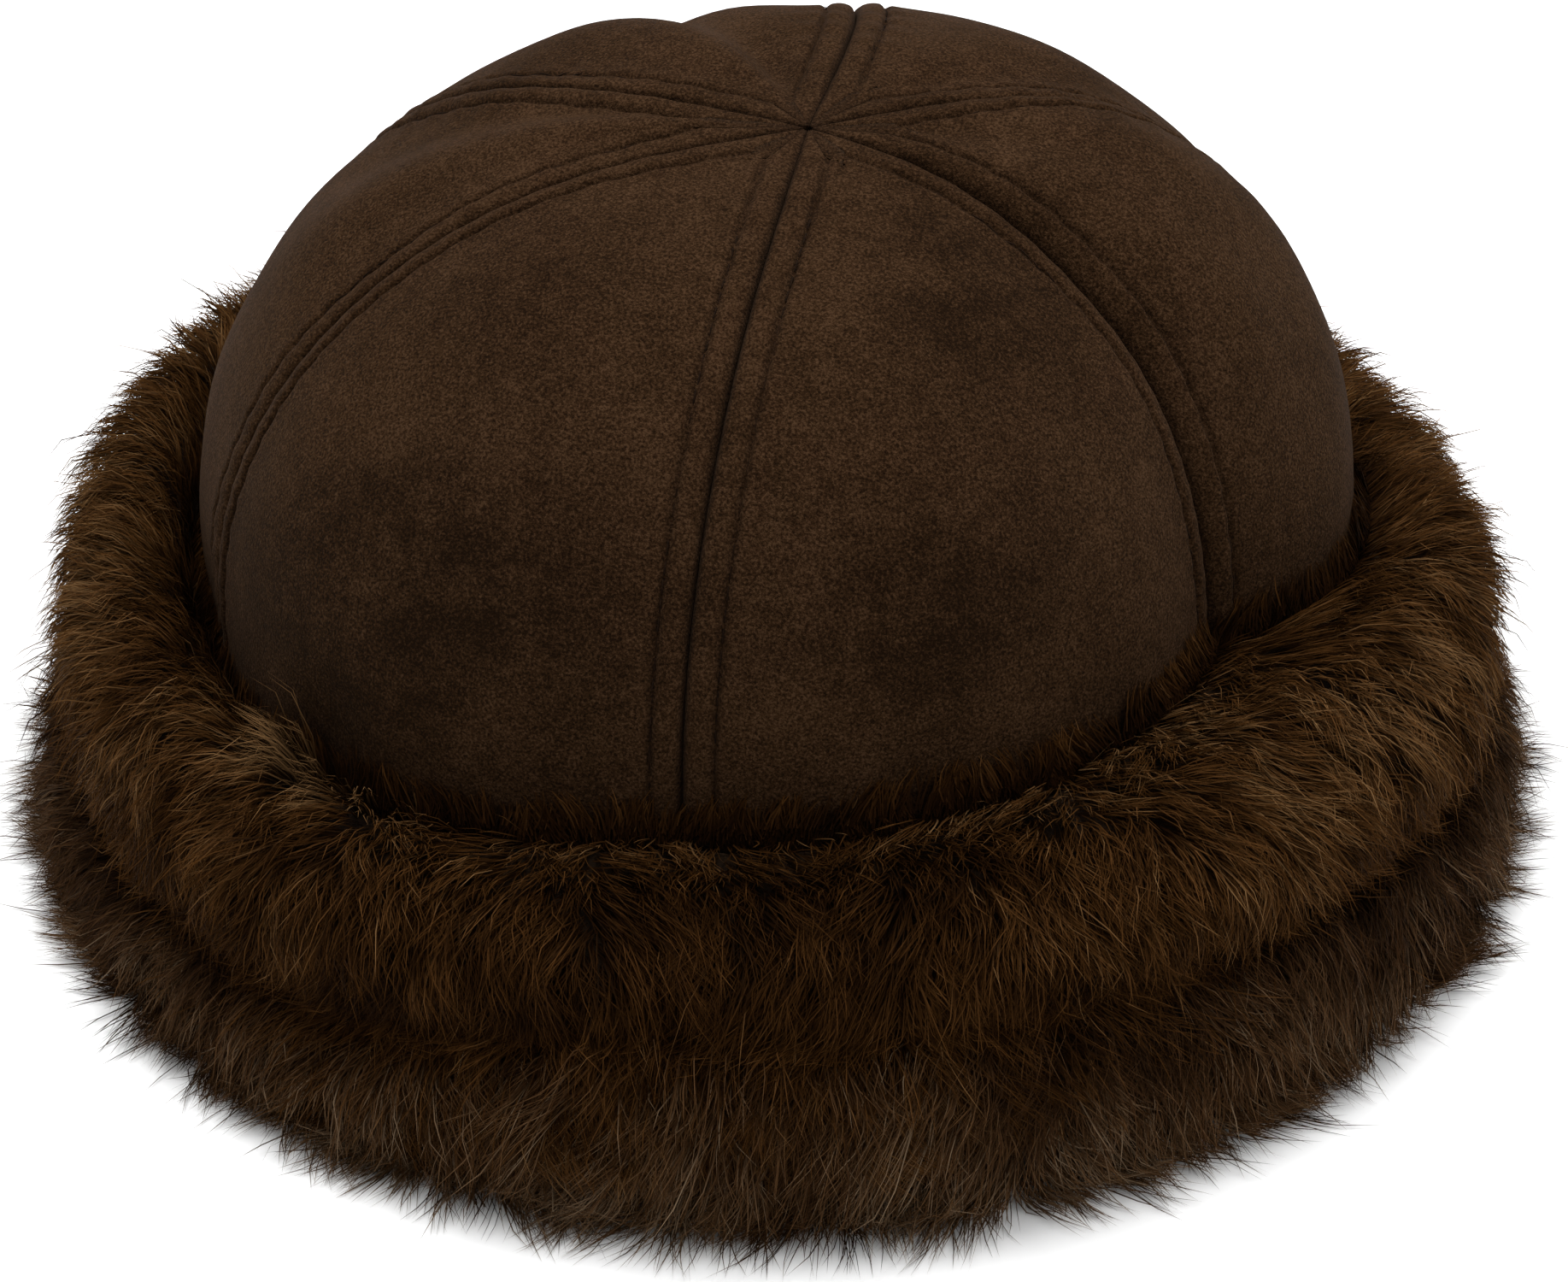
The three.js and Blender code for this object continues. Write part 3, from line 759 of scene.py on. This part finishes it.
class Guide:
    """A surface that fur is combed over: rows of points round the brim, from roots outwards."""

    def __init__(self, outlines, edge_place, passes):
        even = resampled(outlines, GUIDE_PLACES, passes)
        self.points = brim_point(ANGLES[:, None], even[..., 0], even[..., 1])
        around = np.roll(self.points, -1, axis=0) - np.roll(self.points, 1, axis=0)
        along = np.gradient(self.points, axis=1)
        self.along = unit(along)
        self.normal = unit(np.cross(along, around))
        self.length = np.linalg.norm(np.diff(self.points, axis=1), axis=2).sum(axis=1)
        steps = np.linalg.norm(np.diff(outlines, axis=1), axis=2)
        self.edge = self.length * steps[:, :edge_place].sum(axis=1) / steps.sum(axis=1)

    def around_at(self, values, angle):
        return np.interp(np.mod(angle, 360), np.append(ANGLES, 360), np.append(values, values[0]))

    def sample(self, field, angle, share):
        row = np.mod(angle, 360) / 360 * RING_COLUMNS
        low = np.floor(row).astype(int)
        row_share = (row - low)[..., None]
        column = np.clip(share, 0, 1) * (GUIDE_PLACES - 1)
        left = np.minimum(np.floor(column).astype(int), GUIDE_PLACES - 2)
        column_share = (column - left)[..., None]
        rows = (low % RING_COLUMNS, (low + 1) % RING_COLUMNS)
        near, far = (mix(field[r, left], field[r, left + 1], column_share) for r in rows)
        return mix(near, far, row_share)


def upper_guide():
    """From the crease over the roll and its edge, then down the lower ply."""
    at = brim_heights(ANGLES)
    outline = upper_outline(ANGLES)[:, 2:9]
    edge = np.full_like(ANGLES, BRIM_RADIUS)
    split = at["split"]
    hang = [(edge - 0.001, split * 0.72), (edge + 0.0012, split * 0.4), (edge + 0.002, split * 0.1)]
    return Guide(np.concatenate([outline, stacked(hang)], axis=1), 6, 3)


def lower_guide():
    """From under the upper ply's edge down the lower ply, then outwards over the floor."""
    outline = lower_outline(ANGLES)[:, 2:5]
    edge = np.full_like(ANGLES, BRIM_RADIUS)
    floor = np.zeros_like(ANGLES)
    spread = [(edge - 0.0005, floor + 0.005), (edge + 0.0002, floor + 0.002), (edge + 0.0025, floor + 0.0007)]
    return Guide(np.concatenate([outline, stacked(spread)], axis=1), 4, 3)


def crease_guide():
    """Up the crown from the crease."""
    crease = brim_heights(ANGLES)["crease"]
    clear = BAND_LIFT + CREASE_GAP + PILE_STAND
    places = []
    for rise in (-0.003, 0.003, 0.009):
        height = crease + rise
        places.append((crown_radius_at(ANGLES, height) + clear, height))
    return Guide(stacked(places), 2, 0)


MEAN_RADIUS = 0.112
STRAND_STOPS = np.array([0, 0.3, 0.66, 1.0])
FLOOR_CLEARANCE = 0.0003
SHORTEST_STRAND = 0.006
TUFT_ROWS = 40
ROWS_BELOW = 2
# A strand is a ribbon of three pairs of points and a tip: half widths, faces, sides and stops
RIBBON_HALVES = np.array([0.42, 0.5, 0.36])
RIBBON_FACES = np.array([(0, 1, 3), (0, 3, 2), (2, 3, 5), (2, 5, 4), (4, 5, 6)])
RIBBON_SIDES = np.array([-1, 1, -1, 1, -1, 1, 0])
RIBBON_STOPS = STRAND_STOPS[[0, 0, 1, 1, 2, 2, 3]]
RIBBON_TONE_SPAN = 0.012

SECTORS = 4
SECTOR_NAMES = ("front", "right", "back", "left")
# Where fur hangs over the step between the plies at the front, and how broad that is, in degrees
OVERHANG_ANGLE = 2
OVERHANG_BREADTH = 36
STRIP_BREADTH = 34
# A loose tuft beside the crown
TUFT_ANGLE = 322
TUFT_BREADTH = 7


def ahead(angle, centre, breadth):
    """A share from 0 to 1 that is 1 at one angle and fades within breadth degrees of it."""
    away = (angle - centre + 180) % 360 - 180
    return np.exp(-((away / breadth) ** 2))


def nearest_tuft(x, y, size, seed):
    """For each place, an index and the offset from the nearest of a field of scattered tufts."""
    rng = np.random.default_rng(seed)
    columns = int(np.ceil(2 * np.pi * MEAN_RADIUS / size))
    pitch = 2 * np.pi * MEAN_RADIUS / columns
    jitter = rng.uniform(0.05, 0.95, (TUFT_ROWS, columns, 2))
    column = np.floor(x / pitch).astype(int)
    row = np.floor(y / size).astype(int) + ROWS_BELOW
    best = np.full(x.shape, np.inf)
    index = np.zeros(x.shape, int)
    offset = np.zeros((*x.shape, 2))
    for down in (-1, 0, 1):
        for over in (-1, 0, 1):
            r = np.clip(row + down, 0, TUFT_ROWS - 1)
            c = np.mod(column + over, columns)
            centre_x = (column + over + jitter[r, c, 0]) * pitch
            centre_y = (row + down - ROWS_BELOW + jitter[r, c, 1]) * size
            away = np.stack([x - centre_x, y - centre_y], axis=-1)
            distance = np.hypot(away[..., 0], away[..., 1])
            closer = distance < best
            best = np.where(closer, distance, best)
            index = np.where(closer, r * columns + c, index)
            offset = np.where(closer[..., None], away, offset)
    return index, offset, rng.uniform(0, 1, (TUFT_ROWS * columns, 4))


def given(value, *places):
    """A value from a table of fur: a plain number, or a function of the strands' places."""
    return value(*places) if callable(value) else value


def ribbons(points, side_way, width):
    """Points and triangles of tapered ribbons, one along each row of points."""
    count = len(points)
    half = width[:, None] * RIBBON_HALVES
    left = points[:, :3] - side_way[:, :3] * half[..., None]
    right = points[:, :3] + side_way[:, :3] * half[..., None]
    pairs = np.stack([left, right], axis=2).reshape(count, 6, 3)
    corners = np.concatenate([pairs, points[:, 3:]], axis=1)
    firsts = np.arange(count) * len(RIBBON_SIDES)
    triangles = RIBBON_FACES[None] + firsts[:, None, None]
    return corners.reshape(-1, 3), triangles.reshape(-1, 3)


def ribbon_uvs(tone):
    """Each strand's own map: its tone across and its stops along."""
    u = tone[:, None] + RIBBON_TONE_SPAN * RIBBON_SIDES
    v = np.clip(RIBBON_STOPS, 0.02, 0.98) + np.zeros_like(u)
    return np.stack([u, v], axis=-1).reshape(-1, 2)


def make_fur(name, guide, kind, sector, material, node):
    """Tapered ribbons rooted over one sector of a guide, gathered in tufts, in one mesh."""
    rng = np.random.default_rng(kind["seed"] + sector)
    count = kind["count"] // SECTORS
    angle = (rng.uniform(sector, sector + 1, count) - 0.5) * 360 / SECTORS
    if "spread" in kind:
        angle = rng.normal(*kind["spread"], count)
    guide_length = guide.around_at(guide.length, angle)
    edge = guide.around_at(guide.edge, angle)
    crowded = kind["crowded"] * ahead(angle, OVERHANG_ANGLE, OVERHANG_BREADTH)
    rooted = mix(*kind["rooted"], rng.uniform(0, 1, count) ** (1 - crowded))
    x = np.radians(np.mod(angle, 360)) * MEAN_RADIUS
    y = rooted * edge
    fine, fine_offset, fine_draws = nearest_tuft(x, y, kind["fine_tuft"], kind["seed"] + 50)
    broad, broad_offset, broad_draws = nearest_tuft(x, y, kind["broad_tuft"], kind["seed"] + 60)
    fine_draws, broad_draws = fine_draws[fine], broad_draws[broad]
    place = np.stack([np.cos(x / MEAN_RADIUS), np.sin(x / MEAN_RADIUS), y / MEAN_RADIUS], axis=-1)
    drift = ripple(place, 0.45, kind["seed"] + 70)

    guard = rng.uniform(0, 1, count) < kind["guard_share"] * (0.5 + smooth(rooted, 0.4, 0.8))
    length = given(kind["length"], angle, rooted) * rng.uniform(0.75, 1.05, count)
    length = length * mix(0.85, 1.1, fine_draws[:, 0]) * np.where(guard, kind["guard_length"], 1)
    past = kind["past_edge"](angle, fine_draws[:, 0], broad_draws[:, 0])
    past = past + rng.normal(0, kind["ragged"], count)
    past = past + np.where(guard, kind["guard_past"] * rng.uniform(0, 1, count), 0)
    length = np.maximum(np.minimum(length, edge + past - y), SHORTEST_STRAND)
    sweep = kind["sweep"] * (fine_draws[:, 1] - 0.5) + kind["sweep"] * 1.3 * (broad_draws[:, 1] - 0.5)
    sweep = sweep + kind["drift"] * drift + rng.normal(0, kind["stray"], count)
    curl = kind["curl"] * (2 * fine_draws[:, 3] - 1 + rng.normal(0, 0.6, count)) * np.where(guard, 0.4, 1)
    lift = given(kind["lift"], angle, rooted) * (0.35 + 0.7 * fine_draws[:, 2] + 0.4 * broad_draws[:, 2])
    lift = lift * rng.uniform(0.6, 1.15, count)
    lift = lift * np.where(guard, rng.uniform(1, kind["guard_lift"], count), 1)
    gather = kind["gather"] * rng.uniform(0.6, 1, count) * np.where(guard, 0.6, 1)

    stop = STRAND_STOPS[None, :]
    bend = stop ** 1.35
    pull = gather[:, None] * stop ** 1.2
    side = x[:, None] + sweep[:, None] * bend - fine_offset[:, :1] * pull - 0.12 * broad_offset[:, :1] * stop
    side = side + curl[:, None] * np.sin(np.pi * stop)
    along = y[:, None] + length[:, None] * stop - 0.5 * fine_offset[:, 1:] * pull
    height = lift[:, None] * (1 - (1 - stop) ** kind["rise"]) - kind["sink"]
    strand_angle = np.degrees(side / MEAN_RADIUS)
    share = along / guide_length[:, None]
    over = np.maximum(along - guide_length[:, None], 0)
    points = guide.sample(guide.points, strand_angle, share)
    normal = unit(guide.sample(guide.normal, strand_angle, share))
    onward = unit(guide.sample(guide.along, strand_angle, share))
    points = points + normal * height[..., None] + onward * over[..., None]
    resting = FLOOR_CLEARANCE * (1 + rng.uniform(0, 1, (count, 1)))
    points[..., 2] = np.maximum(points[..., 2], resting)

    run = unit(np.gradient(points, axis=1))
    roll = rng.normal(0, kind["roll"], count)[:, None, None]
    facing = unit(normal * np.cos(roll) + np.cross(run, normal) * np.sin(roll))
    width = kind["width"] * rng.uniform(0.75, 1.3, count) * np.where(guard, 0.9, 1)
    corners, triangles = ribbons(points, unit(np.cross(run, facing)), width)

    tone = 0.57 - 0.15 * fine_draws[:, 3] ** 2 - 0.28 * broad_draws[:, 3] ** 2
    tone = tone + rng.normal(0, 0.13, count)
    tone = tone + given(kind["tone"], angle, rooted) + np.where(guard, kind["guard_tone"], 0)
    uvs = ribbon_uvs(np.clip(tone, 0.03, 0.97))
    mesh_piece(name, corners, triangles, uvs, material, [node])


def loose_tuft(angle, rooted):
    return ahead(angle, TUFT_ANGLE, TUFT_BREADTH) * np.exp(-(((rooted - 0.06) / 0.1) ** 2))


def upper_length(angle, rooted):
    front = 0.006 * ahead(angle, OVERHANG_ANGLE, STRIP_BREADTH) * rooted**2
    return 0.007 + 0.002 * smooth(rooted, 0.02, 0.4) + front


def upper_past_edge(angle, fine, broad):
    front = ahead(angle, OVERHANG_ANGLE, OVERHANG_BREADTH)
    overhang = 0.026 * front * (0.05 + 0.7 * fine + 0.6 * broad)
    return 0.0005 + 0.003 * (fine - 0.5) + overhang


def upper_lift(angle, rooted):
    flat = 0.35 + 0.35 * ahead(angle, 0, 36)
    return 0.0068 * (1 - flat * smooth(rooted, 0.5, 0.95)) * (1 + 0.8 * loose_tuft(angle, rooted))


def upper_tone(angle, rooted):
    # Painted light: fur near the crease at the front made lighter, against the crown's shade there.
    crease = 0.32 * ahead(angle, 0, 60) * (1 - smooth(rooted, 0.0, 0.3))
    # Painted highlight: the upper fur's ridge made lighter at the sides and back, where light falls on it.
    ridge_highlight = 0.3 * np.exp(-(((rooted - 0.45) / 0.35) ** 2)) * (1 - ahead(angle, 0, 46))
    front = -0.12 * ahead(angle, 352, 40) * (1 - 0.6 * smooth(rooted, 0.75, 1))
    return crease + ridge_highlight + front + 0.6 * loose_tuft(angle, rooted)


def overhang_past_edge(angle, fine, broad):
    return 0.029 * ahead(angle, OVERHANG_ANGLE, STRIP_BREADTH) + 0.005 * (fine - 0.5)


def overhang_lift(angle, rooted):
    return 0.0066 - 0.003 * smooth(rooted, 1.1, 1.5)


def overhang_tone(angle, rooted):
    return -0.06 + 0.14 * smooth(rooted, 1, 1.3)


def lower_past_edge(angle, fine, broad):
    narrowed = 0.0035 * ahead(angle, 50, 28) + 0.0015 * ahead(angle, 300, 30)
    return -0.0012 + 0.0045 * fine**2 + 0.001 * (broad - 0.5) - narrowed


def lower_lift(angle, rooted):
    front = 0.0035 * ahead(angle, 0, 38) * (1 - smooth(rooted, 0.1, 0.8))
    return 0.006 + front - 0.0015 * smooth(rooted, 0.6, 1)


def lower_tone(angle, rooted):
    # Painted shadow: the lower strands darker near their roots under the upper ply's edge, less so at the
    # front.
    front = ahead(angle, 0, 42)
    shadow_under_edge = 1 - smooth(rooted, 0.0, mix(0.3, 0.6, front))
    return 0.13 + 0.08 * front - mix(0.22, 0.14, front) * shadow_under_edge


def crease_past_edge(angle, fine, broad):
    return 0.001 + 0.005 * (fine - 0.5)


# Kinds of fur: sizes in metres, places as shares from the crease or edge to the guide's edge
UPPER_FUR = {
    "seed": 100,
    "count": 74000,
    "rooted": (0.0, 0.97),
    "crowded": 0.25,
    "length": upper_length,
    "past_edge": upper_past_edge,
    "ragged": 0.0012,
    "lift": upper_lift,
    "sink": ROOT_SINK,
    "curl": 0.0013,
    "tone": upper_tone,
    "fine_tuft": 0.0034,
    "broad_tuft": 0.012,
    "guard_share": 0.1,
    "guard_length": 1.2,
    "guard_past": 0.004,
    "guard_lift": 1.9,
    "guard_tone": 0.08,
    "sweep": 0.007,
    "drift": 0.003,
    "stray": 0.002,
    "gather": 0.6,
    "rise": 1.3,
    "roll": 0.6,
    "width": 0.00023,
}

# A strip of longer fur over the step between the plies at the front. Its count is divided by SECTORS like
# the others, and one such share is made, spread about one angle.
OVERHANG_FUR = dict(UPPER_FUR)
OVERHANG_FUR.update({
    "seed": 400,
    "count": 56000,
    "spread": (OVERHANG_ANGLE, STRIP_BREADTH / 2),
    "rooted": (0.75, 1.55),
    "crowded": 0,
    "length": 0.009,
    "past_edge": overhang_past_edge,
    "lift": overhang_lift,
    "tone": overhang_tone,
    "gather": 0.45,
})

LOWER_FUR = {
    "seed": 200,
    "count": 56000,
    "rooted": (0.02, 0.97),
    "crowded": 0.25,
    "length": 0.0088,
    "past_edge": lower_past_edge,
    "ragged": 0.0018,
    "lift": lower_lift,
    "sink": ROOT_SINK,
    "curl": 0.0013,
    "tone": lower_tone,
    "fine_tuft": 0.0036,
    "broad_tuft": 0.012,
    "guard_share": 0.34,
    "guard_length": 1.7,
    "guard_past": 0.013,
    "guard_lift": 1.7,
    "guard_tone": 0.06,
    "sweep": 0.007,
    "drift": 0.003,
    "stray": 0.002,
    "gather": 0.6,
    "rise": 1.3,
    "roll": 0.6,
    "width": 0.00023,
}

CREASE_FUR = {
    "seed": 300,
    "count": 9000,
    "rooted": (0.0, 0.4),
    "crowded": 0,
    "length": 0.006,
    "past_edge": crease_past_edge,
    "ragged": 0.003,
    "lift": 0.0045,
    "sink": 0,
    "curl": 0.001,
    "tone": -0.02,
    "fine_tuft": 0.005,
    "broad_tuft": 0.015,
    "guard_share": 0.1,
    "guard_length": 1.1,
    "guard_past": 0.002,
    "guard_lift": 1.5,
    "guard_tone": 0.1,
    "sweep": 0.006,
    "drift": 0.003,
    "stray": 0.0016,
    "gather": 0.6,
    "rise": 1.1,
    "roll": 0.4,
    "width": 0.00024,
}

# Colours along a strand's range of tones, the painted shade at its root, and the underfur's dark and light
UPPER_TONES = [
    (0.05, (0.006, 0.0021, 0.0005)),
    (0.4, (0.027, 0.01, 0.002)),
    (0.7, (0.07, 0.029, 0.0075)),
    (0.95, (0.155, 0.084, 0.034)),
]
LOWER_TONES = [
    (0.05, (0.0065, 0.0028, 0.001)),
    (0.45, (0.033, 0.014, 0.005)),
    (0.7, (0.08, 0.04, 0.0165)),
    (0.95, (0.18, 0.122, 0.074)),
]
ROOT_SHADE = (0.25, 0.22, 0.2)
UPPER_UNDERFUR = ((0.004, 0.0018, 0.0006), (0.018, 0.009, 0.0035))
LOWER_UNDERFUR = ((0.0035, 0.0018, 0.0009), (0.012, 0.007, 0.004))


def make_brim():
    upper_skin = skin_material("underfur_upper", *UPPER_UNDERFUR)
    lower_skin = skin_material("underfur_lower", *LOWER_UNDERFUR)
    make_skin("fur_upper_ply", upper_outline, upper_skin, "brim_fur_upper")
    make_skin("fur_lower_ply", lower_outline, lower_skin, "brim_fur_lower")
    upper = fur_material("fur_upper", UPPER_TONES)
    lower = fur_material("fur_lower", LOWER_TONES)
    combed, hanging, upright = upper_guide(), lower_guide(), crease_guide()
    for sector, where in enumerate(SECTOR_NAMES):
        make_fur(f"fur_upper_{where}", combed, UPPER_FUR, sector, upper, "brim_fur_upper")
        make_fur(f"fur_lower_{where}", hanging, LOWER_FUR, sector, lower, "brim_fur_lower")
        make_fur(f"fur_crease_{where}", upright, CREASE_FUR, sector, upper, "brim_fur_upper")
    make_fur("fur_overhang", combed, OVERHANG_FUR, 0, upper, "brim_fur_upper")


# Camera, light and floor


def make_camera():
    azimuth, elevation = np.radians(VIEW_AZIMUTH), np.radians(VIEW_ELEVATION)
    back = Vector((
        np.sin(azimuth) * np.cos(elevation),
        -np.cos(azimuth) * np.cos(elevation),
        np.sin(elevation),
    ))
    camera = bpy.data.objects.new("camera", bpy.data.cameras.new("camera"))
    camera.data.sensor_width = SENSOR_WIDTH
    camera.data.lens = FOCAL_PIXELS / PHOTO_SIZE[0] * SENSOR_WIDTH
    right = PHOTO_SIZE[0] / 2 - AIM_PIXEL[0]
    down = PHOTO_SIZE[1] / 2 - AIM_PIXEL[1]
    turn = Matrix.Rotation(-np.arctan2(right, FOCAL_PIXELS), 4, "Y")
    tilt = Matrix.Rotation(-np.arctan2(down, FOCAL_PIXELS), 4, "X")
    looking = (-back).to_track_quat("-Z", "Y").to_matrix().to_4x4()
    camera.matrix_world = Matrix.Translation(AIM + back * VIEW_DISTANCE) @ looking @ turn @ tilt
    bpy.context.scene.collection.objects.link(camera)
    bpy.context.scene.camera = camera


def make_light(name, place, size, power):
    data = bpy.data.lights.new(name, "AREA")
    data.size = size
    data.energy = power
    light = bpy.data.objects.new(name, data)
    light.location = place
    light.rotation_mode = "QUATERNION"
    light.rotation_quaternion = (AIM - Vector(place)).to_track_quat("-Z", "Y")
    bpy.context.scene.collection.objects.link(light)


FLOOR_SIZE = 8
FLOOR_GREY = 0.9
SKY_LOW = 0.25
SKY_HIGH = 1.0
LIGHTS = [
    {"name": "overhead", "place": (-0.15, 0.3, 1.45), "size": 1.2, "power": 31},
    {"name": "side", "place": (1.3, -0.5, 0.9), "size": 0.9, "power": 7},
]


def make_stage():
    scene = bpy.context.scene
    scene.view_settings.view_transform = "Standard"
    world = bpy.data.worlds.new("studio")
    world.use_nodes = True
    tree = world.node_tree
    direction = tree.nodes.new("ShaderNodeTexCoord").outputs["Generated"]
    parts = tree.nodes.new("ShaderNodeSeparateXYZ")
    tree.links.new(direction, parts.inputs["Vector"])
    sky = add_ramp(tree, parts.outputs["Z"], [(0, (SKY_LOW,) * 3), (1, (SKY_HIGH,) * 3)])
    tree.links.new(sky, tree.nodes["Background"].inputs["Color"])
    scene.world = world
    for light in LIGHTS:
        make_light(**light)
    half = FLOOR_SIZE / 2
    mesh = bpy.data.meshes.new("floor")
    corners = [(-half, -half, 0), (half, -half, 0), (half, half, 0), (-half, half, 0)]
    mesh.from_pydata(corners, [], [(0, 1, 2, 3)])
    material, _, shader = new_material("floor")
    shader.inputs["Base Color"].default_value = (FLOOR_GREY, FLOOR_GREY, FLOOR_GREY, 1)
    shader.inputs["Roughness"].default_value = 0.9
    mesh.materials.append(material)
    floor = bpy.data.objects.new("floor", mesh)
    scene.collection.objects.link(floor)


make_camera()
make_stage()
suede = suede_material()
for panel in range(len(PANELS)):
    make_panel(panel, suede)
make_stitches(thread_material())
make_brim()
